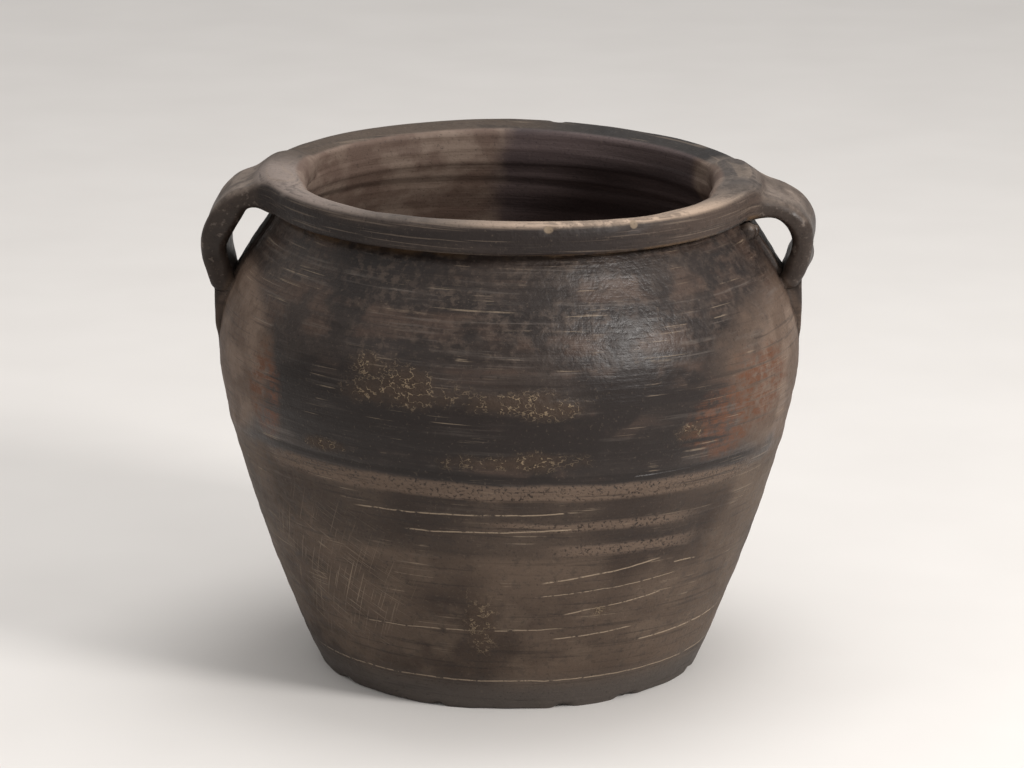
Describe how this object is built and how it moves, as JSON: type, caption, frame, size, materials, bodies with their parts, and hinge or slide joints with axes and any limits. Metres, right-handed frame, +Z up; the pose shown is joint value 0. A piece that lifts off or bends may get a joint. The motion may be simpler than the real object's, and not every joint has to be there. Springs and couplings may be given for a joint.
{
  "type": "two-handled clay pot",
  "caption": "Wide-mouthed open clay pot with a round belly, a flat foot, a rolled collar and a strap handle on each side.",
  "frame": {"origin": "centre of the flat underside that the pot stands on", "axes": "+Z up along the turning axis, +X through one handle and -X through the other, -Y towards the side with no handle that is seen from the front"},
  "size_m": [0.337, 0.3198, 0.2754],
  "materials": {
    "fired_black_clay": "satin, burnished by hand, with brown smoke marks"
  },
  "bodies": {
    "root": {"backing_strip_left": "fired_black_clay", "backing_strip_right": "fired_black_clay", "base_corner_coil": "fired_black_clay", "base_slab": "fired_black_clay", "handle_strap_left": "fired_black_clay", "handle_strap_right": "fired_black_clay", "lower_wall": "fired_black_clay", "rim_collar": "fired_black_clay", "upper_wall": "fired_black_clay"}
  },
  "joints": []
}
